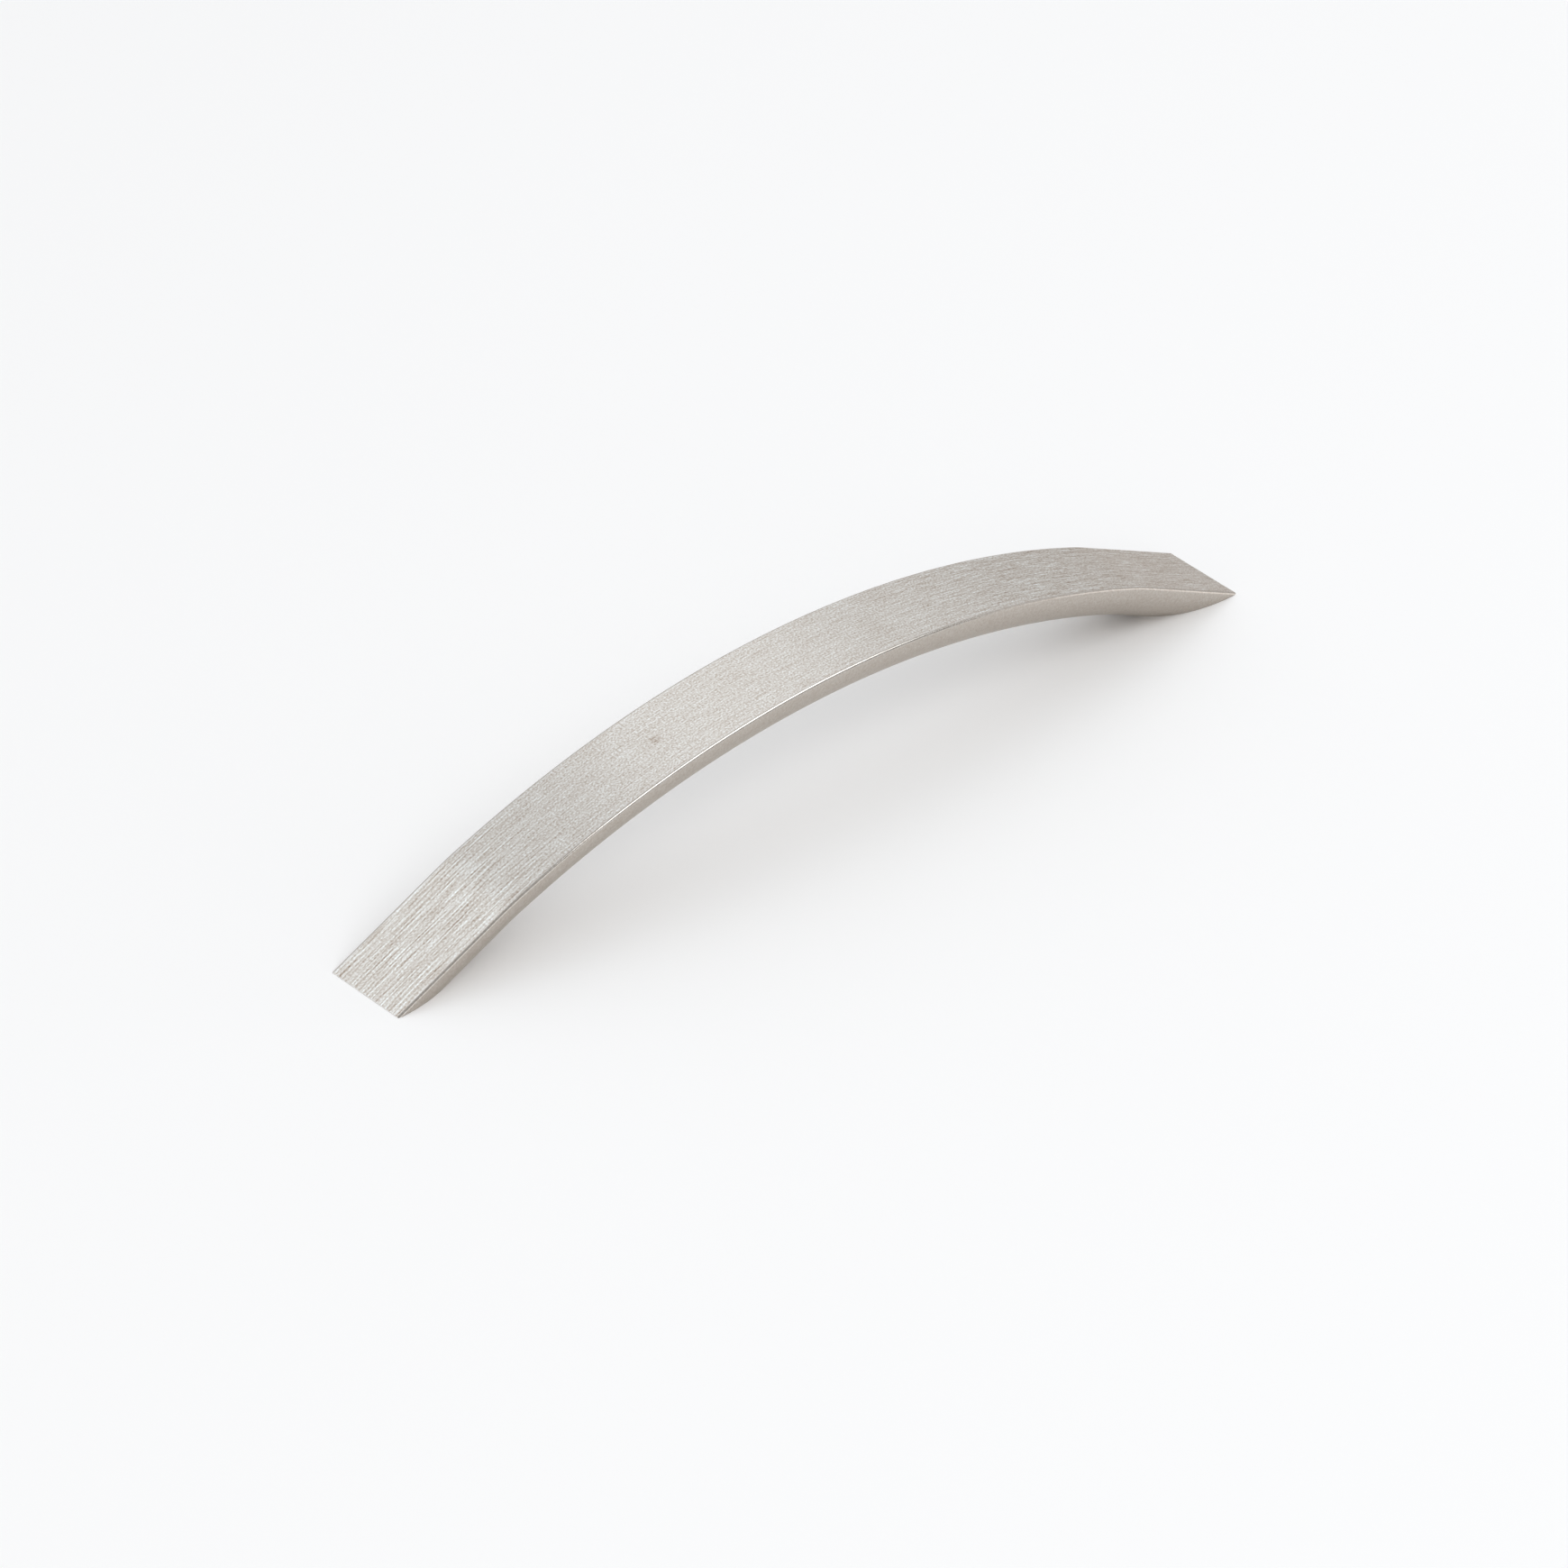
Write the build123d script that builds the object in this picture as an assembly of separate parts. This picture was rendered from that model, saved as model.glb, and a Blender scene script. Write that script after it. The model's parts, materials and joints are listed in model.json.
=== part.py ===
from build123d import *
import os
from math import cos, radians, sin, tan

# A bow handle for a drawer or a cabinet door, cast in one piece: a bar with a flat outer face
# and a half-round underside, bent into a bow whose two ends are cut off flush with the
# cabinet front. X runs along the handle, Y across it and Z out from the cabinet front, which
# is the plane Z = 0. The origin lies midway between the screws. Sizes are in millimetres.

# The bow, as the outer face runs
screw_spacing = 160.0  # hole to hole
projection = 25.0  # cabinet front to the crown
flank_angle = 25.5  # degrees between a straight flank and the cabinet front
flank_length = 25.5  # toe to knee, along the flank
knee_radius = 60.0  # blend where a flank passes into the crown's arc

# The bar's section
bar_width = 16.0
bar_depth = 7.8  # outer face to the lowest line of the underside
edge_radius = 0.5  # rounding along both edges of the outer face

# The feet
toe_height = 0.15  # blunt tip of the wedge, where the outer face ends
heel_margin = 3.8  # from the heel to the axis of the screw hole

# The screw holes, cored for an M4 thread
thread_bore = 3.3
skin = 0.8  # metal left between the end of a hole and the outer face
mouth_chamfer = 0.4

# Places that follow from the sizes
flank = radians(flank_angle)
foot_length = bar_depth / sin(flank) - toe_height / tan(flank)
screw_x = screw_spacing / 2
toe_x = screw_x - heel_margin + foot_length
knee_x = toe_x - flank_length * cos(flank)
knee_z = toe_height + flank_length * sin(flank)
# The bar is bent past the toes and then cut, so that the cut leaves a full foot
overrun = bar_depth
end_x = toe_x + overrun * cos(flank)
end_z = toe_height - overrun * sin(flank)


def bow_line():
    """Returns the line down the middle of the outer face: flank, crown, flank."""
    with BuildLine(Plane.XZ) as bow:
        Line((-end_x, end_z), (-knee_x, knee_z))
        ThreePointArc((-knee_x, knee_z), (0, projection), (knee_x, knee_z))
        Line((knee_x, knee_z), (end_x, end_z))
        knees = bow.vertices().sort_by(Axis.X)[1:-1]
        fillet(knees, knee_radius)
    return bow.wire()


def bar_section(plane):
    """Returns the bar's section: flat outer face, rounded edges and a half-ellipse below."""
    half_width = bar_width / 2
    flat = half_width - edge_radius
    with BuildSketch(plane) as section:
        with BuildLine():
            Line((-flat, 0), (flat, 0))
            CenterArc((flat, -edge_radius), edge_radius, 90, -90)
            EllipticalCenterArc(
                (0, -edge_radius),
                half_width,
                bar_depth - edge_radius,
                start_angle=180,
                arc_size=180,
            )
            CenterArc((-flat, -edge_radius), edge_radius, 180, -90)
        make_face()
    return section.sketch


def screw_hole():
    """Returns the space of one screw hole, mouth at the origin: a blind bore and its chamfer."""
    # The bore stops short of the sloping face above its outer side
    height_above = toe_height + (toe_x - screw_x - thread_bore / 2) * tan(flank)
    depth = height_above - skin / cos(flank)
    mouth = thread_bore / 2 + mouth_chamfer
    upwards = (Align.CENTER, Align.CENTER, Align.MIN)
    bore = Cylinder(thread_bore / 2, depth, align=upwards)
    chamfer_cone = Cone(mouth, thread_bore / 2, mouth_chamfer, align=upwards)
    return bore + chamfer_cone


def bow_handle():
    """Returns the whole handle: the swept bar, cut at the feet and the toes, with its holes."""
    line = bow_line()
    start = Plane(origin=line @ 0, x_dir=(0, 1, 0), z_dir=line % 0)
    bar = sweep(bar_section(start), path=line)
    # What lies over the cabinet front and between the toes is kept
    room = Box(
        2 * toe_x,
        2 * bar_width,
        2 * projection,
        align=(Align.CENTER, Align.CENTER, Align.MIN),
    )
    handle = bar & room
    for side in (-1, 1):
        handle -= Pos(side * screw_x, 0, 0) * screw_hole()
    return handle


os.makedirs("parts", exist_ok=True)
export_step(bow_handle(), "parts/bow_handle.step")
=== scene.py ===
import json
import logging
import math
from collections.abc import Callable
from dataclasses import dataclass
from enum import IntEnum

import bmesh
import bpy
from mathutils import Matrix, Vector


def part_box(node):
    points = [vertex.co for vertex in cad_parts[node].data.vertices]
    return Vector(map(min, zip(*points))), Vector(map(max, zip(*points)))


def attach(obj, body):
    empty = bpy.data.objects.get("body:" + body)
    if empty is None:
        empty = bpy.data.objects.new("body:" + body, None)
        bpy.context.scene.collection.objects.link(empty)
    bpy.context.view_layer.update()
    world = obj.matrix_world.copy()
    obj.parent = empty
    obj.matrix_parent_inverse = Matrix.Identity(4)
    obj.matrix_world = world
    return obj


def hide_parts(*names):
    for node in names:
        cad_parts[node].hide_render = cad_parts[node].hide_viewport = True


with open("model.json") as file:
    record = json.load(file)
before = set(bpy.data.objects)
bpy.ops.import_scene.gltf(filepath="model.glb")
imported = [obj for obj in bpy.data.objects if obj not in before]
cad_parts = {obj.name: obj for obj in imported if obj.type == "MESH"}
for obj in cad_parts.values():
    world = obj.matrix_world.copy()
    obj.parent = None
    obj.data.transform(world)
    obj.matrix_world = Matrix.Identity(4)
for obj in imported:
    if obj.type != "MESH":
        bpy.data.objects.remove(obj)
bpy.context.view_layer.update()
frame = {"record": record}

# A bow handle for a drawer or a cabinet door: one bar with a flat, brushed outer face and a
# half-round satin underside, bent into a bow whose ends are cut flush with the cabinet front and
# tapped for screws. X runs along the handle, Y across it and Z out from the cabinet front.

MM = 0.001
TOUCH = 1e-6  # places closer than this are the same place
HAIR = 1e-8  # how near to a cut a vertex counts as on it
WARM_SHADE = (0.80, 1.015, 1.185)  # how fast red, green and blue fall off as the metal darkens
COOL = (0.97, 1.0, 1.035)  # daylight
PLAIN = (1.0, 1.0, 1.0)  # white light
ENDS = (-1.0, 1.0)  # the left and the right end of the handle, as signs of X
STREAK_WIDTH = 0.28 * MM  # of the marks that the brushing belt leaves

Value = float | bpy.types.NodeSocket
Span = tuple[float, float]  # where something starts and where it stops
Spot = tuple[float, float]  # a place along X and Y
Way = tuple[float, float, float]  # a place or a direction
Colour = tuple[float, float, float, float]

log = logging.getLogger("bow_handle")


class Surface(IntEnum):
    """The handle's surfaces, each the index of its material slot."""

    OUTER_FACE = 0
    UNDERSIDE = 1
    FOOT = 2
    THREAD = 3
    TOE = 4


class Bench:
    """One mesh object in edit mode, with the ways to pick out what the next operator acts on."""

    def __init__(self, piece: bpy.types.Object) -> None:
        """Takes the piece, which has to be the active object."""
        self.piece = piece

    def __enter__(self) -> "Bench":
        """Opens the piece for edits, with vertices as what is picked.

        Returns:
            The bench itself.
        """
        bpy.ops.object.mode_set(mode="EDIT")
        bpy.ops.mesh.select_mode(type="VERT")
        return self

    def __exit__(self, *trouble: object) -> None:
        """Closes the piece again."""
        bpy.ops.object.mode_set(mode="OBJECT")

    def pick(self, test: Callable[[Vector], bool]) -> None:
        """Selects the vertices whose place passes a test, and nothing else.

        Args:
            test: tells of a place, in metres, whether it is picked.
        """
        mesh = bmesh.from_edit_mesh(self.piece.data)
        for vertex in mesh.verts:
            vertex.select_set(False)
        for vertex in mesh.verts:
            if test(vertex.co):
                vertex.select_set(True)
        mesh.select_flush_mode()
        bmesh.update_edit_mesh(self.piece.data)

    def pick_all(self) -> None:
        """Selects the whole piece."""
        bpy.ops.mesh.select_all(action="SELECT")

    def cut(self, place: Way, away: Way) -> None:
        """Saws the piece through, drops what lies beyond the plane and closes the cut.

        Args:
            place: a point of the plane.
            away: the direction in which the waste lies.
        """
        self.pick_all()
        bpy.ops.mesh.bisect(
            plane_co=place,
            plane_no=away,
            use_fill=True,
            clear_outer=True,
            threshold=HAIR,
        )

    def clean(self) -> None:
        """Merges doubled vertices and turns all faces outwards."""
        self.pick_all()
        bpy.ops.mesh.remove_doubles(threshold=TOUCH)
        self.pick_all()
        bpy.ops.mesh.normals_make_consistent(inside=False)


class Graph:
    """A tree of shader nodes, each linked to what feeds it when it is added."""

    MIX_SHARE = 0  # where a Mix node has its share among its sockets
    MIX_NUMBERS = (2, 3)  # and its two numbers
    MIX_COLOURS = (6, 7)  # and its two colours
    MIXED_COLOUR = 2  # and the colour that comes out
    SPOT_CORE = 0.55  # share of a spot's radius over which it is even

    def __init__(self, tree: bpy.types.NodeTree) -> None:
        """Takes the tree that the nodes go into."""
        self.tree = tree

    def feed(self, socket: bpy.types.NodeSocket, value: object) -> None:
        """Links a socket to another one, or sets it to a constant.

        Args:
            socket: the socket that is fed.
            value: another node's socket, or what the socket itself then holds.
        """
        if isinstance(value, bpy.types.NodeSocket):
            self.tree.links.new(value, socket)
        else:
            socket.default_value = value

    def node(self, kind: str, inputs: dict[str | int, object], **settings: object) -> bpy.types.Node:
        """Adds a node.

        Args:
            kind: its type, without the leading ShaderNode.
            inputs: what its input sockets hold or are fed by.
            settings: its own properties.

        Returns:
            The new node.
        """
        made = self.tree.nodes.new("ShaderNode" + kind)
        for name, value in settings.items():
            setattr(made, name, value)
        for name, value in inputs.items():
            self.feed(made.inputs[name], value)
        return made

    def math(self, operation: str, *values: Value) -> bpy.types.NodeSocket:
        """Adds a sum, product or the like.

        Args:
            operation: what is done, in the node's own words.
            values: the one, two or three numbers that it is done to.

        Returns:
            The result's socket.
        """
        return self.node("Math", dict(enumerate(values)), operation=operation).outputs[0]

    def total(self, *values: Value) -> bpy.types.NodeSocket:
        """Adds up two or more numbers.

        Args:
            values: the numbers.

        Returns:
            The sum's socket.
        """
        result = values[0]
        for value in values[1:]:
            result = self.math("ADD", result, value)
        return result

    def ease(self, value: Value, ends: Span, to: Span) -> bpy.types.NodeSocket:
        """Passes smoothly from one number to another as a value crosses a range.

        Args:
            value: what is watched.
            ends: where the passage starts and stops.
            to: the numbers at the two ends.

        Returns:
            The result's socket.
        """
        inputs = {
            "Value": value,
            "From Min": ends[0],
            "From Max": ends[1],
            "To Min": to[0],
            "To Max": to[1],
        }
        return self.node("MapRange", inputs, interpolation_type="SMOOTHSTEP").outputs[0]

    def blend(self, share: Value, first: Value, second: Value) -> bpy.types.NodeSocket:
        """Mixes two numbers.

        Args:
            share: how much of the second one goes in, 0 to 1.
            first: the number at a share of 0.
            second: the number at a share of 1.

        Returns:
            The result's socket.
        """
        inputs = {self.MIX_SHARE: share, **dict(zip(self.MIX_NUMBERS, (first, second)))}
        return self.node("Mix", inputs, data_type="FLOAT").outputs[0]

    def mix(self, share: Value, first: object, second: object, way: str = "MIX") -> bpy.types.NodeSocket:
        """Mixes two colours.

        Args:
            share: how much of the second one goes in, 0 to 1.
            first: a red, green, blue and alpha, or a socket.
            second: the same.
            way: how they are mixed, in the node's own words.

        Returns:
            The result's socket.
        """
        inputs = {self.MIX_SHARE: share, **dict(zip(self.MIX_COLOURS, (first, second)))}
        return self.node("Mix", inputs, data_type="RGBA", blend_type=way).outputs[self.MIXED_COLOUR]

    def place(self) -> bpy.types.NodeSocket:
        """Returns the socket of the place on the object, in metres."""
        return self.node("TexCoord", {}).outputs["Object"]

    def along(self, axis: str) -> bpy.types.NodeSocket:
        """Returns the socket of the place along one axis, in metres."""
        return self.node("SeparateXYZ", {0: self.place()}).outputs[axis]

    def spot(self, middle: Spot, radius: float) -> bpy.types.NodeSocket:
        """Adds a soft round spot as seen from outside the cabinet.

        Args:
            middle: its place along X and Y.
            radius: where it has faded out.

        Returns:
            The socket of its strength, 1 in the middle and 0 outside.
        """
        flat = self.node("VectorMath", {0: self.place(), 1: (1.0, 1.0, 0.0)}, operation="MULTIPLY")
        inputs = {0: flat.outputs[0], 1: (middle[0], middle[1], 0.0)}
        away = self.node("VectorMath", inputs, operation="DISTANCE").outputs["Value"]
        return self.ease(away, (self.SPOT_CORE * radius, radius), (1.0, 0.0))


class Metal(Graph):
    """The material of one bare metal, whose nodes are added to it."""

    def __init__(self, name: str, edge_tint: Colour, anisotropy: float = 0.0) -> None:
        """Starts the material.

        Args:
            name: its name.
            edge_tint: the share of each colour that it still throws back at a grazing look.
            anisotropy: how much more its reflections are blurred across the bar than along it.
        """
        self.material = bpy.data.materials.new(name)
        self.material.use_nodes = True
        super().__init__(self.material.node_tree)
        self.shader = self.tree.nodes["Principled BSDF"]
        self.feed(self.shader.inputs["Metallic"], 1.0)
        self.feed(self.shader.inputs["Specular Tint"], edge_tint)
        self.feed(self.shader.inputs["Anisotropic"], anisotropy)

    def tint(self, colour: object, factor: Value) -> bpy.types.NodeSocket:
        """Lightens or darkens a colour, which turns warmer as it darkens.

        Args:
            colour: a red, green, blue and alpha, or a socket.
            factor: what it is multiplied by, about 1.

        Returns:
            The new colour's socket.
        """
        channels = {index: self.math("POWER", factor, pull) for index, pull in enumerate(WARM_SHADE)}
        shade = self.node("CombineColor", channels).outputs[0]
        return self.mix(1.0, colour, shade, "MULTIPLY")

    def finish(self, colour: Value, roughness: Value, height: Value) -> bpy.types.Material:
        """Links the shader.

        Args:
            colour: the metal's colour.
            roughness: how blurred its reflections are.
            height: the relief of its surface, in metres.

        Returns:
            The finished material.
        """
        relief = self.node("Bump", {"Height": height, "Strength": 1.0, "Distance": 1.0}).outputs[0]
        self.feed(self.shader.inputs["Base Color"], colour)
        self.feed(self.shader.inputs["Roughness"], roughness)
        self.feed(self.shader.inputs["Normal"], relief)
        return self.material


@dataclass(frozen=True)
class Pattern:
    """One layer of an even noise, stretched along the axes into marks."""

    MEAN = 0.5  # about which the noise swings
    OCTAVE_GAIN = 0.55  # strength of each finer octave
    LAYER_STEP = Vector((1.0, 2.7, 0.0))  # way within the noise from one layer to the next

    size: Way  # a mark's length along X, Y and Z, where zero leaves that axis out
    layer: float  # which part of the noise is used
    octaves: float = 0.0  # how many finer noises are laid over it
    lean: float = 0.0  # degrees off the X axis

    def draw(self, graph: Graph) -> bpy.types.NodeSocket:
        """Adds the layer to a tree of nodes.

        Args:
            graph: the tree.

        Returns:
            The socket of its value, about -0.5 to 0.5.
        """
        inputs = {"Vector": graph.place(), "Rotation": (0.0, 0.0, math.radians(self.lean))}
        turned = graph.node("Mapping", inputs).outputs[0]
        inputs = {
            "Vector": turned,
            "Location": self.layer * self.LAYER_STEP,
            "Scale": tuple(1.0 / length if length else 0.0 for length in self.size),
        }
        stretched = graph.node("Mapping", inputs).outputs[0]
        inputs = {
            "Vector": stretched,
            "Scale": 1.0,
            "Detail": self.octaves,
            "Roughness": self.OCTAVE_GAIN,
        }
        noise = graph.node("TexNoise", inputs).outputs[0]
        return graph.math("SUBTRACT", noise, self.MEAN)


@dataclass(frozen=True)
class Scores:
    """Thin lines side by side, which stray a little and come and go along the bar."""

    pitch: float
    stray: Pattern
    stray_pitches: float  # how many pitches the strongest stray is worth
    run: Pattern
    run_swing: float  # how strongly the run brings the lines out or wipes them away
    strength: float = 0.5  # about which the run swings

    def draw(self, graph: Graph) -> bpy.types.NodeSocket:
        """Adds the lines to a tree of nodes.

        Args:
            graph: the tree.

        Returns:
            The socket of their value, about -0.7 to 0.7.
        """
        across = graph.math("DIVIDE", graph.along("Y"), self.pitch)
        line = graph.math("MULTIPLY_ADD", self.stray.draw(graph), self.stray_pitches, across)
        wave = graph.math("SINE", graph.math("MULTIPLY", line, 2 * math.pi))
        strength = graph.math("MULTIPLY_ADD", self.run.draw(graph), self.run_swing, self.strength)
        return graph.math("MULTIPLY", wave, strength)


@dataclass(frozen=True)
class BeltMarks:
    """One layer of what the brushing belt leaves on the outer face."""

    form: Pattern | Scores
    contrast: tuple[float, float, float]  # at the left end, in the middle and at the right end
    depth: float


def streaks(length: float, layer: float, lean: float = 0.0) -> Pattern:
    """Returns belt marks of one length, part of the noise and lean off the X axis in degrees."""
    return Pattern((length, STREAK_WIDTH, 0.0), layer, lean=lean)


@dataclass(frozen=True)
class Blemish:
    """A faint round stain on the outer face."""

    middle: Spot
    radius: float
    darkness: float


@dataclass(frozen=True)
class SatinNickel:
    """The plain satin plating of the underside, fine-grained and without brush marks."""

    colour: Colour = (0.526, 0.480, 0.434, 1.0)
    edge_tint: Colour = (0.87, 0.86, 0.84, 1.0)
    roughness: float = 0.36
    grain: Pattern = Pattern((0.38 * MM,) * 3, layer=9.3, octaves=1.0)
    grain_contrast: float = 0.55
    grain_dulling: float = 0.08
    grain_depth: float = 0.002 * MM
    clouds: Pattern = Pattern((5.0 * MM,) * 3, layer=4.1, octaves=2.0)
    cloud_contrast: float = 0.05

    def tone(self, metal: Metal, grain: Value) -> bpy.types.NodeSocket:
        """Adds the plating's unevenness.

        Args:
            metal: the material.
            grain: the socket of its fine grain.

        Returns:
            The socket of a factor on the colour.
        """
        faint = metal.math("MULTIPLY", self.clouds.draw(metal), self.cloud_contrast)
        fine = metal.math("MULTIPLY", grain, self.grain_contrast)
        return metal.total(1.0, faint, fine)

    def material(self) -> bpy.types.Material:
        """Mixes the finish.

        Returns:
            The finished material.
        """
        metal = Metal("satin_nickel", self.edge_tint)
        grain = self.grain.draw(metal)
        colour = metal.tint(self.colour, self.tone(metal, grain))
        roughness = metal.math("MULTIPLY_ADD", grain, self.grain_dulling, self.roughness)
        height = metal.math("MULTIPLY", grain, self.grain_depth)
        return metal.finish(colour, roughness, height)


@dataclass(frozen=True)
class BrushedNickel:
    """The brushed plating of the outer face, which fades into satin round its edges."""

    satin: SatinNickel
    flat: float  # girth at which the edge's rounding starts
    rim: float  # girth at which it has turned into the underside
    colour: Colour = (0.60, 0.562, 0.515, 1.0)
    edge_tint: Colour = (0.695, 0.655, 0.63, 1.0)
    roughness: float = 0.30
    grain_share: float = 0.45  # how much of the satin's grain still shows through the brushing
    edge_colour: Colour = (0.555, 0.519, 0.475, 1.0)
    edge_roughness: float = 0.14
    edge_fade: Span = (15.0 * MM, 45.0 * MM)  # where along X the edge turns from polished to satin
    anisotropy: float = 0.5
    brushed_inside: float = 0.1 * MM  # where the marks start to fade, before the edge's rounding
    brushed_outside: float = 0.2 * MM  # where they have faded, on the rounding
    satin_inside: float = 0.15 * MM  # where the rounding starts to turn dull, before the underside
    left_fade: Span = (-76.0 * MM, -46.0 * MM)  # along X, from the left end's marks to the middle's
    right_fade: Span = (0.0 * MM, 55.0 * MM)  # and from the middle's to the right end's
    marks: tuple[BeltMarks, ...] = (
        BeltMarks(streaks(9.0 * MM, layer=3.0, lean=-0.3), (0.60, 0.28, 0.58), depth=0.003 * MM),
        BeltMarks(streaks(4.0 * MM, layer=1.0, lean=0.4), (0.55, 0.30, 0.60), depth=0.003 * MM),
        BeltMarks(streaks(1.3 * MM, layer=13.0), (0.0, 0.0, 0.65), depth=0.002 * MM),
        BeltMarks(streaks(0.35 * MM, layer=5.0), (0.85, 0.95, 0.95), depth=0.001 * MM),
        BeltMarks(
            Scores(
                pitch=0.80 * MM,
                stray=Pattern((16.0 * MM, 1.5 * MM, 0.0), layer=7.0),
                stray_pitches=1.6,
                run=Pattern((6.0 * MM, 0.5 * MM, 0.0), layer=11.0),
                run_swing=1.6,
            ),
            (0.31, 0.05, 0.09),
            depth=0.001 * MM,
        ),
    )
    blemishes: tuple[Blemish, ...] = (
        Blemish((-32.9 * MM, -0.1 * MM), radius=1.1 * MM, darkness=0.21),
        Blemish((59.4 * MM, 0.1 * MM), radius=1.5 * MM, darkness=0.07),
    )

    def brush(self, metal: Metal) -> tuple[bpy.types.NodeSocket, bpy.types.NodeSocket]:
        """Adds the marks of the belt.

        Args:
            metal: the material.

        Returns:
            The sockets of the change of tone that they make and of their relief.
        """
        along = metal.along("X")
        shades, heights = [], []
        for layer in self.marks:
            form = layer.form.draw(metal)
            left, middle, right = layer.contrast
            left_half = metal.ease(along, self.left_fade, (left, middle))
            gain = metal.ease(along, self.right_fade, (0.0, right - middle))
            shades.append(metal.math("MULTIPLY", form, metal.total(left_half, gain)))
            heights.append(metal.math("MULTIPLY", form, layer.depth))
        return metal.total(*shades), metal.total(*heights)

    def stain(self, metal: Metal) -> bpy.types.NodeSocket:
        """Adds the blemishes.

        Args:
            metal: the material.

        Returns:
            The socket of the change of tone that they make.
        """
        stains = [
            metal.math("MULTIPLY", metal.spot(stain.middle, stain.radius), -stain.darkness)
            for stain in self.blemishes
        ]
        return metal.total(*stains)

    def polish(self, metal: Metal, girth: Value) -> bpy.types.NodeSocket:
        """Adds the gloss that the belt leaves on the edge, which fades out towards the right end.

        Args:
            metal: the material.
            girth: how far round the bar a place lies.

        Returns:
            The socket of its share, 1 where the edge is polished and 0 where it is satin.
        """
        above_rim = metal.ease(girth, (self.rim - self.satin_inside, self.rim), (1.0, 0.0))
        along_edge = metal.ease(metal.along("X"), self.edge_fade, (1.0, 0.0))
        return metal.math("MULTIPLY", above_rim, along_edge)

    def material(self) -> bpy.types.Material:
        """Mixes the finish, which reads how far round the bar a place lies.

        Returns:
            The finished material.
        """
        metal = Metal("brushed_nickel", self.edge_tint, self.anisotropy)
        girth = metal.node("Attribute", {}, attribute_name=BowHandle.GIRTH).outputs["Fac"]
        fade = (self.flat - self.brushed_inside, self.flat + self.brushed_outside)
        brushed = metal.ease(girth, fade, (1.0, 0.0))
        marks, relief = (metal.math("MULTIPLY", part, brushed) for part in self.brush(metal))
        share = metal.blend(brushed, 1.0, self.grain_share)
        grain = metal.math("MULTIPLY", self.satin.grain.draw(metal), share)
        tone = metal.total(self.satin.tone(metal, grain), marks, self.stain(metal))
        polished = self.polish(metal, girth)
        edge_colour = metal.mix(polished, self.satin.colour, self.edge_colour)
        edge_roughness = metal.blend(polished, self.satin.roughness, self.edge_roughness)
        colour = metal.tint(metal.mix(brushed, edge_colour, self.colour), tone)
        roughness = metal.blend(brushed, edge_roughness, self.roughness)
        height = metal.math("MULTIPLY_ADD", grain, self.satin.grain_depth, relief)
        tangent = metal.node("Tangent", {}, direction_type="UV_MAP", uv_map=BowHandle.CROSSWISE)
        metal.feed(metal.shader.inputs["Tangent"], tangent.outputs[0])
        return metal.finish(colour, roughness, height)


@dataclass(frozen=True)
class BareMetal:
    """Metal that a tool has cut, with the lines or patches that the tool leaves."""

    name: str
    colour: Colour
    roughness: float
    lines: Pattern
    contrast: float
    dulling: float
    depth: float
    edge_tint: Colour = (0.9, 0.9, 0.9, 1.0)

    def material(self) -> bpy.types.Material:
        """Mixes the finish.

        Returns:
            The finished material.
        """
        metal = Metal(self.name, self.edge_tint)
        lines = self.lines.draw(metal)
        tone = metal.math("MULTIPLY_ADD", lines, self.contrast, 1.0)
        roughness = metal.math("MULTIPLY_ADD", lines, self.dulling, self.roughness)
        height = metal.math("MULTIPLY", lines, self.depth)
        return metal.finish(metal.tint(self.colour, tone), roughness, height)


MILLED_FOOT = BareMetal(
    name="milled_foot",
    colour=(0.47, 0.45, 0.42, 1.0),
    roughness=0.42,
    lines=Pattern((0.22 * MM, 9.0 * MM, 0.0), layer=2.0, octaves=2.0),
    contrast=0.40,
    dulling=0.15,
    depth=0.004 * MM,
)
TAPPED_HOLE = BareMetal(
    name="tapped_hole",
    colour=(0.55, 0.53, 0.50, 1.0),
    roughness=0.34,
    lines=Pattern((0.8 * MM,) * 3, layer=8.0, octaves=2.0),
    contrast=0.3,
    dulling=0.2,
    depth=0.002 * MM,
)
# The toe's blunt end: worn into pale dashes, and its colour also painted lighter than the plating, a
# painted highlight that offsets the shade it mirrors from the floor beside the foot.
WORN_TOE_AND_PAINTED_LIGHT = BareMetal(
    name="worn_toe_and_painted_light",
    colour=(0.90, 0.875, 0.84, 1.0),
    roughness=0.62,
    lines=Pattern((0.0, 0.45 * MM, 0.0), layer=6.0, octaves=1.0),
    contrast=0.7,
    dulling=0.1,
    depth=0.004 * MM,
)


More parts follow.
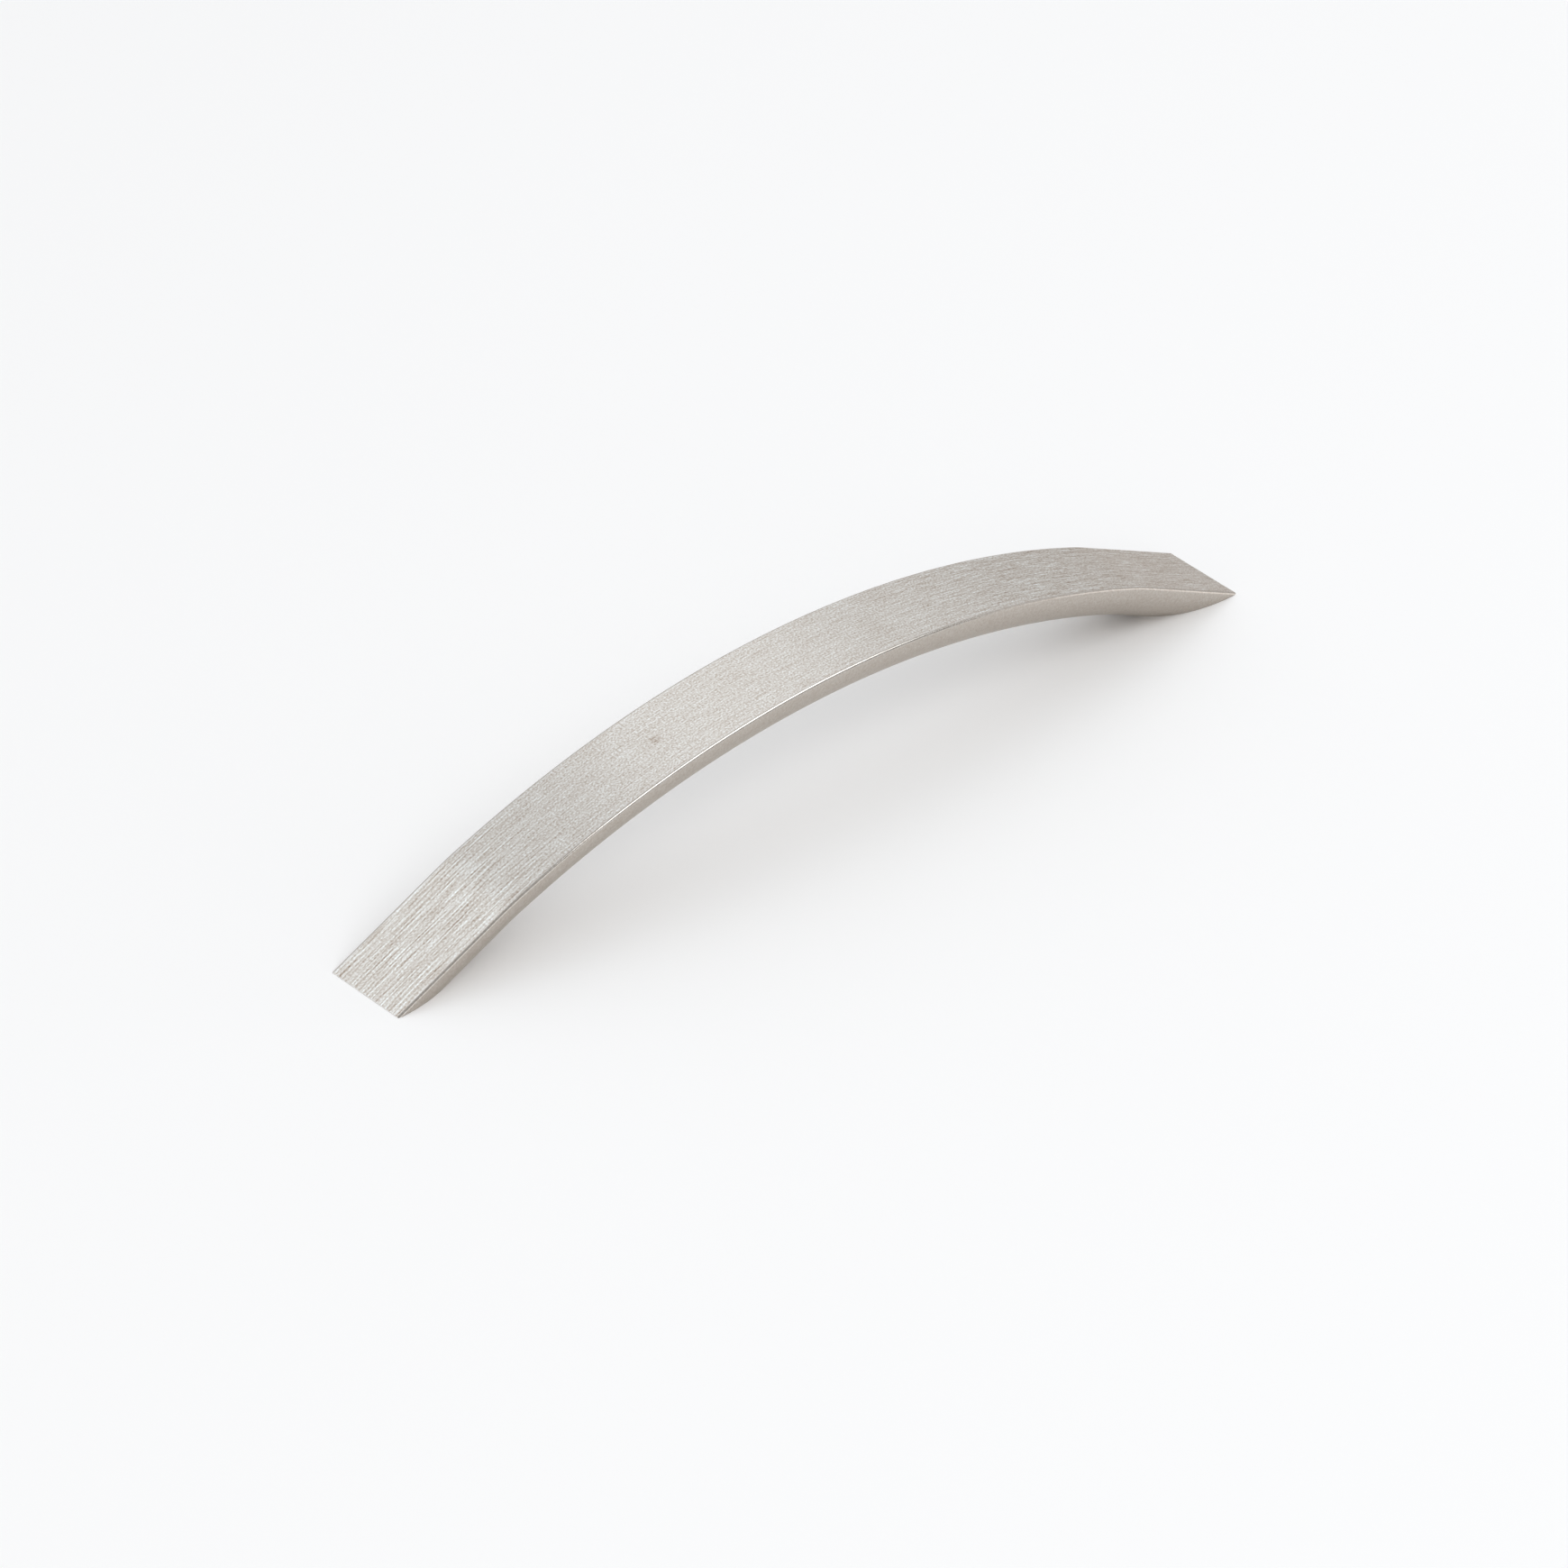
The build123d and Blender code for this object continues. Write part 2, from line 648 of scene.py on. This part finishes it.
@dataclass
class BowHandle:
    """The handle itself: one bar, bent to a bow, cut at the feet and tapped for two screws."""

    GIRTH = "girth"
    CROSSWISE = "crosswise"

    toe_x: float
    half_width: float
    projection: float
    screw_x: float
    bore_radius: float
    flank_angle: float = math.radians(25.5)
    flank_length: float = 25.5 * MM
    knee_radius: float = 60.0 * MM
    bar_depth: float = 7.8 * MM
    edge_radius: float = 0.5 * MM
    toe_height: float = 0.15 * MM
    skin: float = 0.8 * MM
    mouth_chamfer: float = 0.4 * MM
    thread_pitch: float = 0.7 * MM
    thread_height: float = 0.35 * MM
    thread_start: float = 1.5  # pitches below the mouth, for the middle of the first turn
    thread_entry: float = 0.5  # pitches below the mouth at which the tap is cut off
    spare_turns: int = 3  # turns of the tap beyond the hole's depth, for the cuts to take off
    smooth_up_to: float = math.radians(30.0)  # bends sharper than this stay sharp
    underside_steps: int = 64
    edge_steps: int = 10
    face_cuts: int = 9
    profile_cuts: int = 3  # in one turn's profile, whose middle one becomes the thread's crest
    crown_steps: int = 96
    knee_steps: int = 8
    thread_steps: int = 48

    @property
    def flat(self) -> float:
        """Half the width of the flat part of the outer face."""
        return self.half_width - self.edge_radius

    @property
    def rim(self) -> float:
        """Girth at which an edge's rounding has turned into the underside."""
        return self.flat + self.edge_radius * math.pi / 2

    @property
    def overrun(self) -> float:
        """Length of bar past the toe before the cut."""
        return self.bar_depth

    def up_the_flank(self, distance: float) -> Vector:
        """Returns the step from a place on the left flank to one further up it."""
        return distance * Vector((math.cos(self.flank_angle), 0.0, math.sin(self.flank_angle)))

    def crown_radius(self) -> float:
        """Finds the crown's arc, which passes through the knees and the top.

        Returns:
            The arc's radius.
        """
        knee = Vector((-self.toe_x, 0.0, self.toe_height)) + self.up_the_flank(self.flank_length)
        drop = self.projection - knee.z
        return (knee.x**2 + drop**2) / (2 * drop)

    def knee_turn(self) -> float:
        """Finds the arc of a knee, tangent to the flank and the crown.

        Returns:
            The angle through which it turns.
        """
        radius = self.crown_radius()
        middle = Vector((0.0, 0.0, self.projection - radius))
        outwards = Vector((-math.sin(self.flank_angle), 0.0, math.cos(self.flank_angle)))
        off_flank = (Vector((-self.toe_x, 0.0, self.toe_height)) - middle).dot(outwards)
        return math.acos((off_flank - self.knee_radius) / (radius - self.knee_radius))

    def girth_at(self, place: Vector) -> float:
        """Measures how far round the section a place lies.

        Args:
            place: a place on the section, outer face at the top.

        Returns:
            The way from the middle of the outer face, over an edge and then straight down.
        """
        if place.z > -TOUCH:
            return abs(place.y)
        if place.z > TOUCH - self.edge_radius:
            turn = math.atan2(abs(place.y) - self.flat, place.z + self.edge_radius)
            return self.flat + self.edge_radius * turn
        return self.rim - self.edge_radius - place.z

    def section(self) -> bpy.types.Object:
        """Lays out the bar's section as a closed wire across the X axis.

        Returns:
            The wire, its outer face at the top and centred on the origin.
        """
        bpy.ops.object.select_all(action="DESELECT")
        bpy.ops.mesh.primitive_circle_add(
            vertices=2 * self.underside_steps,
            radius=self.half_width,
            rotation=(0.0, math.pi / 2, 0.0),
        )
        wire = bpy.context.object
        bpy.ops.object.transform_apply(location=False, rotation=True, scale=False)
        squeeze = (self.bar_depth - self.edge_radius) / self.half_width
        with Bench(wire) as bench:
            bench.pick(lambda place: place.z > TOUCH)
            bpy.ops.mesh.delete(type="VERT")
            bench.pick_all()
            bpy.ops.transform.resize(value=(1.0, 1.0, squeeze), center_override=(0.0, 0.0, 0.0))
            bpy.ops.transform.translate(value=(0.0, 0.0, -self.edge_radius))
            bench.pick(lambda place: abs(place.z + self.edge_radius) < TOUCH)
            up = (0.0, 0.0, self.edge_radius)
            bpy.ops.mesh.extrude_region_move(TRANSFORM_OT_translate={"value": up})
            bpy.ops.mesh.edge_face_add()
            bpy.ops.mesh.bevel(offset=self.edge_radius, segments=self.edge_steps, affect="VERTICES")
            bench.pick_all()
            bpy.ops.mesh.remove_doubles(threshold=TOUCH)
            bench.pick(lambda place: place.z > -TOUCH)
            bpy.ops.mesh.subdivide(number_cuts=self.face_cuts)
        girth = wire.data.attributes.new(self.GIRTH, "FLOAT", "POINT")
        for vertex in wire.data.vertices:
            girth.data[vertex.index].value = self.girth_at(vertex.co)
        return wire

    def bend(self, bar: bpy.types.Object) -> None:
        """Draws the section out along the flank, knee, crown, knee and flank.

        Args:
            bar: the section's wire, which becomes the bar.
        """
        toe = Vector((-self.toe_x, 0.0, self.toe_height))
        start = toe - self.up_the_flank(self.overrun)
        bar.matrix_world = Matrix.Translation(start) @ Matrix.Rotation(-self.flank_angle, 4, "Y")
        bpy.ops.object.transform_apply(location=True, rotation=True, scale=False)

        radius, turn = self.crown_radius(), self.knee_turn()
        crown_middle = Vector((0.0, 0.0, self.projection - radius))
        crown_half = self.flank_angle - turn
        towards_knee = Vector((-math.sin(crown_half), 0.0, math.cos(crown_half)))
        knee_middle = crown_middle + (radius - self.knee_radius) * towards_knee
        outwards = Vector((-math.sin(self.flank_angle), 0.0, math.cos(self.flank_angle)))
        flank_end = knee_middle + self.knee_radius * outwards
        flank = flank_end - start
        bends = (
            (knee_middle, turn, self.knee_steps),
            (crown_middle, 2 * crown_half, self.crown_steps),
            (Vector((-knee_middle.x, 0.0, knee_middle.z)), turn, self.knee_steps),
        )
        with Bench(bar) as bench:
            bench.pick_all()
            bpy.ops.mesh.extrude_region_move(TRANSFORM_OT_translate={"value": flank})
            for middle, angle, steps in bends:
                bpy.ops.mesh.spin(steps=steps, angle=angle, center=middle, axis=(0.0, -1.0, 0.0))
            down = Vector((flank.x, 0.0, -flank.z))
            bpy.ops.mesh.extrude_region_move(TRANSFORM_OT_translate={"value": down})
            bench.clean()

    def cut_feet(self, bar: bpy.types.Object) -> None:
        """Saws both ends flush with the cabinet front and blunts the toes.

        Args:
            bar: the bent bar.
        """
        with Bench(bar) as bench:
            bench.cut((0.0, 0.0, 0.0), (0.0, 0.0, -1.0))
            for end in ENDS:
                bench.cut((end * self.toe_x, 0.0, 0.0), (end, 0.0, 0.0))
            bench.clean()

    def hole_depth(self) -> float:
        """Finds how deep a screw hole goes, short of the sloping outer face.

        Returns:
            Its depth.
        """
        over_bore = self.toe_x - self.screw_x - self.bore_radius
        face = self.toe_height + over_bore * math.tan(self.flank_angle)
        return face - self.skin / math.cos(self.flank_angle)

    def tap(self) -> bpy.types.Object:
        """Models the space that a tap cuts, on the Z axis with its mouth at the origin.

        Returns:
            A closed screw as deep as a hole, which starts a little below the mouth.
        """
        depth = self.hole_depth()
        start = -self.thread_start * self.thread_pitch
        entry = -self.thread_entry * self.thread_pitch
        bpy.ops.object.select_all(action="DESELECT")
        bpy.ops.mesh.primitive_plane_add(size=self.thread_pitch, rotation=(math.pi / 2, 0.0, 0.0))
        screw = bpy.context.object
        bpy.ops.object.transform_apply(location=False, rotation=True, scale=False)
        with Bench(screw) as bench:
            bench.pick(lambda place: place.x > 0.0)
            bpy.ops.mesh.delete(type="VERT")
            bench.pick_all()
            to_wall = self.bore_radius + self.thread_pitch / 2
            bpy.ops.transform.translate(value=(to_wall, 0.0, start))
            bpy.ops.mesh.subdivide(number_cuts=self.profile_cuts)
            bench.pick(lambda place: abs(place.z - start) < TOUCH)
            bpy.ops.transform.translate(value=(self.thread_height, 0.0, 0.0))
        bpy.ops.object.modifier_add(type="SCREW")
        winding = screw.modifiers[-1]
        winding.screw_offset = self.thread_pitch
        winding.iterations = math.ceil(depth / self.thread_pitch) + self.spare_turns
        winding.steps = winding.render_steps = self.thread_steps
        winding.use_merge_vertices = True
        bpy.ops.object.modifier_apply(modifier=winding.name)
        with Bench(screw) as bench:
            bench.clean()
            bench.cut((0.0, 0.0, entry), (0.0, 0.0, -1.0))
            bench.cut((0.0, 0.0, depth), (0.0, 0.0, 1.0))
            bench.clean()
        return screw

    def countersink(self) -> bpy.types.Object:
        """Models the cone that breaks the edge of a hole's mouth, on the Z axis.

        Returns:
            The cone, at 45 degrees and from a chamfer's height below the mouth.
        """
        wide = self.bore_radius + 2 * self.mouth_chamfer
        height = wide / 2
        bpy.ops.object.select_all(action="DESELECT")
        bpy.ops.mesh.primitive_cone_add(
            vertices=self.thread_steps,
            radius1=wide,
            radius2=wide - height,
            depth=height,
            location=(0.0, 0.0, height / 2 - self.mouth_chamfer),
        )
        return bpy.context.object

    def tap_holes(self, bar: bpy.types.Object) -> None:
        """Cuts a countersunk, threaded hole into each foot.

        Args:
            bar: the bar with its feet cut.
        """
        for end in ENDS:
            for cutter in (self.tap(), self.countersink()):
                cutter.location.x += end * self.screw_x
                bpy.ops.object.select_all(action="DESELECT")
                bpy.context.view_layer.objects.active = bar
                bar.select_set(True)
                bpy.ops.object.modifier_add(type="BOOLEAN")
                hole = bar.modifiers[-1]
                hole.object = cutter
                hole.operation = "DIFFERENCE"
                hole.solver = "EXACT"
                bpy.ops.object.modifier_apply(modifier=hole.name)
                bpy.data.objects.remove(cutter)

    def surface_of(self, face: bpy.types.MeshPolygon, girth: float) -> Surface:
        """Tells which surface a face belongs to.

        Args:
            face: the face.
            girth: the least girth of its corners.

        Returns:
            Its surface.
        """
        off_axis = math.hypot(abs(face.center.x) - self.screw_x, face.center.y)
        mouth = self.bore_radius + self.mouth_chamfer
        inside = TOUCH < face.center.z < self.hole_depth() + TOUCH
        if inside and off_axis < mouth:
            return Surface.THREAD
        if abs(face.normal.z + 1.0) < TOUCH and face.center.z < TOUCH:
            return Surface.FOOT
        if abs(face.center.x) > self.toe_x - TOUCH:
            return Surface.TOE
        return Surface.OUTER_FACE if girth < self.rim - TOUCH else Surface.UNDERSIDE

    def dress(self, bar: bpy.types.Object) -> None:
        """Smooths the bar, maps its outer face lengthwise and gives each surface its finish.

        Args:
            bar: the bar with its holes cut.
        """
        satin = SatinNickel()
        finishes = {
            Surface.OUTER_FACE: BrushedNickel(satin, self.flat, self.rim).material(),
            Surface.UNDERSIDE: satin.material(),
            Surface.FOOT: MILLED_FOOT.material(),
            Surface.THREAD: TAPPED_HOLE.material(),
            Surface.TOE: WORN_TOE_AND_PAINTED_LIGHT.material(),
        }
        mesh = bar.data
        for surface in Surface:
            mesh.materials.append(finishes[surface])
        girth = mesh.attributes[self.GIRTH].data
        for face in mesh.polygons:
            least = min(girth[corner].value for corner in face.vertices)
            face.material_index = self.surface_of(face, least)
        unrolled = mesh.uv_layers.new(name=self.CROSSWISE)
        for loop in mesh.loops:
            place = mesh.vertices[loop.vertex_index].co
            unrolled.data[loop.index].uv = (place.y / self.toe_x, place.x / self.toe_x)
        bpy.ops.object.shade_smooth_by_angle(angle=self.smooth_up_to)
        bpy.ops.object.modifier_add(type="WEIGHTED_NORMAL")
        evened = bar.modifiers[-1]
        evened.keep_sharp = True
        bpy.ops.object.modifier_apply(modifier=evened.name)

    def build(self) -> bpy.types.Object:
        """Builds the whole handle.

        Returns:
            The finished piece, which rides on the frame and stands for the plain solid.
        """
        bar = self.section()
        bar.name = bar.data.name = "handle_body"
        self.bend(bar)
        self.cut_feet(bar)
        self.tap_holes(bar)
        self.dress(bar)
        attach(bar, "root")
        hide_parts("bow_handle")
        return bar


@dataclass(frozen=True)
class SoftBox:
    """A soft lamp that looks at the handle: which way it stands, how large and how bright it is."""

    name: str
    towards: Way
    width: float
    height: float
    radiance: float
    colour: tuple[float, float, float] = PLAIN
    distance: float = 2.0

    def set_up(self) -> None:
        """Adds the lamp."""
        lamp = bpy.data.lights.new(self.name, "AREA")
        lamp.shape = "RECTANGLE"
        lamp.size, lamp.size_y = self.width, self.height
        lamp.energy = self.radiance * math.pi * self.width * self.height
        lamp.color = self.colour
        holder = bpy.data.objects.new(self.name, lamp)
        bpy.context.scene.collection.objects.link(holder)
        direction = Vector(self.towards).normalized()
        holder.location = self.distance * direction
        holder.rotation_euler = direction.to_track_quat("Z", "Y").to_euler()
        holder.visible_camera = False


@dataclass(frozen=True)
class View:
    """The camera's place, as the handle is seen: angles in degrees and lengths in metres."""

    azimuth: float = -45.389
    elevation: float = 35.04
    roll: float = 3.473
    distance: float = 1637.564 * MM
    focal_pixels: float = 11154.98
    frame_pixels: float = 1740.0
    shift_right: float = -2.268 * MM
    shift_up: float = -1.080 * MM

    def set_up(self) -> None:
        """Adds the camera and makes it the scene's own."""
        azimuth, elevation = math.radians(self.azimuth), math.radians(self.elevation)
        level = math.cos(elevation)
        back = Vector((math.sin(azimuth) * level, -math.cos(azimuth) * level, math.sin(elevation)))
        right = Vector((math.cos(azimuth), math.sin(azimuth), 0.0))
        axes = Matrix((right, back.cross(right), back)).transposed().to_4x4()
        axes = axes @ Matrix.Rotation(math.radians(self.roll), 4, "Z")
        lens = bpy.data.cameras.new("camera")
        lens.lens = self.focal_pixels / self.frame_pixels * lens.sensor_width
        camera = bpy.data.objects.new("camera", lens)
        bpy.context.scene.collection.objects.link(camera)
        place = Vector((self.shift_right, self.shift_up, self.distance))
        camera.matrix_world = axes @ Matrix.Translation(place)
        bpy.context.scene.camera = camera


@dataclass(frozen=True)
class Studio:
    """The pale floor, the soft light round it and the camera."""

    screw_x: float
    view: View = View()
    floor_radius: float = 3.0
    floor_gap: float = 0.02 * MM
    floor_sides: int = 128
    floor_roughness: float = 0.9
    floor_gloss: float = 0.0
    floor_colour: Colour = (0.943, 0.931, 0.918, 1.0)
    foot_reach: float = 0.2 * MM  # shorter rays come from a foot, and the floor lets them through
    hole_reach: float = 3.0 * MM  # it is open within this of a hole's axis, well inside the foot
    front_light: float = 0.53
    low_light: float = 0.72
    high_light: float = 0.97
    front_to_back: Span = (-0.4, 0.4)  # directions, from -1 to 1, over which the light changes
    low_to_high: Span = (0.0, 0.8)
    lamps: tuple[SoftBox, ...] = (
        SoftBox("left_panel", (-0.30, 0.50, 0.80), width=0.8, height=1.0, radiance=0.44, colour=COOL),
        SoftBox("back_window", (0.42, 0.575, 0.70), width=0.7, height=1.2, radiance=0.31, colour=COOL),
        SoftBox("right_panel", (0.72, 0.575, 0.43), width=1.0, height=0.6, radiance=0.19),
        SoftBox("right_foot_panel", (0.80, 0.575, 0.12), width=1.0, height=0.4, radiance=0.20),
        SoftBox("fill_panel", (-0.85, -0.25, 0.50), width=1.2, height=1.2, radiance=1.4),
        SoftBox("front_window", (0.43, -0.50, 0.76), width=1.4, height=0.9, radiance=2.65, colour=COOL),
        SoftBox("front_strip", (0.90, -0.41, 0.15), width=0.9, height=0.6, radiance=1.65),
        SoftBox("left_strip", (0.17, -0.95, 0.12), width=0.7, height=0.4, radiance=1.1),
    )

    def lay_floor(self) -> None:
        """Adds the floor just under the feet, clear from below, so that they are seen and lit."""
        bpy.ops.object.select_all(action="DESELECT")
        bpy.ops.mesh.primitive_circle_add(
            vertices=self.floor_sides,
            radius=self.floor_radius,
            fill_type="NGON",
            location=(0.0, 0.0, -self.floor_gap),
        )
        floor = bpy.context.object
        floor.name = floor.data.name = "floor"
        bpy.ops.object.transform_apply(location=True, rotation=False, scale=False)
        paint = bpy.data.materials.new("pale_floor")
        paint.use_nodes = True
        graph = Graph(paint.node_tree)
        shader = graph.tree.nodes["Principled BSDF"]
        graph.feed(shader.inputs["Base Color"], self.floor_colour)
        graph.feed(shader.inputs["Roughness"], self.floor_roughness)
        graph.feed(shader.inputs["Specular IOR Level"], self.floor_gloss)
        from_below = graph.node("NewGeometry", {}).outputs["Backfacing"]
        ray = graph.node("LightPath", {}).outputs["Ray Length"]
        from_foot = graph.math("LESS_THAN", ray, self.foot_reach)
        let_through = graph.math("MAXIMUM", from_below, from_foot)
        for end in ENDS:
            hole = graph.spot((end * self.screw_x, 0.0), self.hole_reach)
            let_through = graph.math("MAXIMUM", let_through, hole)
        clear = graph.node("BsdfTransparent", {}).outputs[0]
        surface = graph.node("MixShader", {0: let_through, 1: shader.outputs[0], 2: clear}).outputs[0]
        graph.feed(graph.tree.nodes["Material Output"].inputs["Surface"], surface)
        floor.data.materials.append(paint)

    def fill_room(self) -> None:
        """Lights the room softly, dimmer in front of the handle than above and behind it."""
        room = bpy.data.worlds.new("room")
        room.use_nodes = True
        graph = Graph(room.node_tree)
        way = graph.node("TexCoord", {}).outputs["Generated"]
        parts = graph.node("SeparateXYZ", {0: way}).outputs
        behind = graph.ease(parts["Y"], self.front_to_back, (0.0, 1.0))
        glow = graph.ease(parts["Z"], self.low_to_high, (self.low_light, self.high_light))
        light = room.node_tree.nodes["Background"].inputs
        graph.feed(light["Strength"], graph.blend(behind, self.front_light, glow))
        graph.feed(light["Color"], graph.mix(behind, (*PLAIN, 1.0), (*COOL, 1.0)))
        bpy.context.scene.world = room

    def set_up(self) -> None:
        """Sets up the floor, the light and the camera."""
        bpy.context.scene.view_settings.view_transform = "Standard"
        self.lay_floor()
        self.fill_room()
        for lamp in self.lamps:
            lamp.set_up()
        self.view.set_up()


def handle_from_frame() -> BowHandle:
    """Takes the handle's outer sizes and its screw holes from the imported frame.

    Returns:
        The handle, not yet built.
    """
    low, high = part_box("bow_handle")
    holes = next(mount for mount in frame["record"]["mounts"] if mount["name"] == "screw_holes")
    return BowHandle(
        toe_x=(high.x - low.x) / 2,
        half_width=(high.y - low.y) / 2,
        projection=high.z,
        screw_x=holes["dims"]["spacing_x_mm"] / 2 * MM,
        bore_radius=holes["dims"]["hole_r_mm"] * MM,
    )


def main() -> None:
    """Builds the handle and the studio."""
    logging.basicConfig(level=logging.INFO, format="%(name)s: %(message)s")
    handle = handle_from_frame()
    body = handle.build()
    log.info("%s: %d faces", body.name, len(body.data.polygons))
    Studio(handle.screw_x).set_up()
    log.info("floor, lamps and camera stand")


if __name__ == "__main__":
    main()
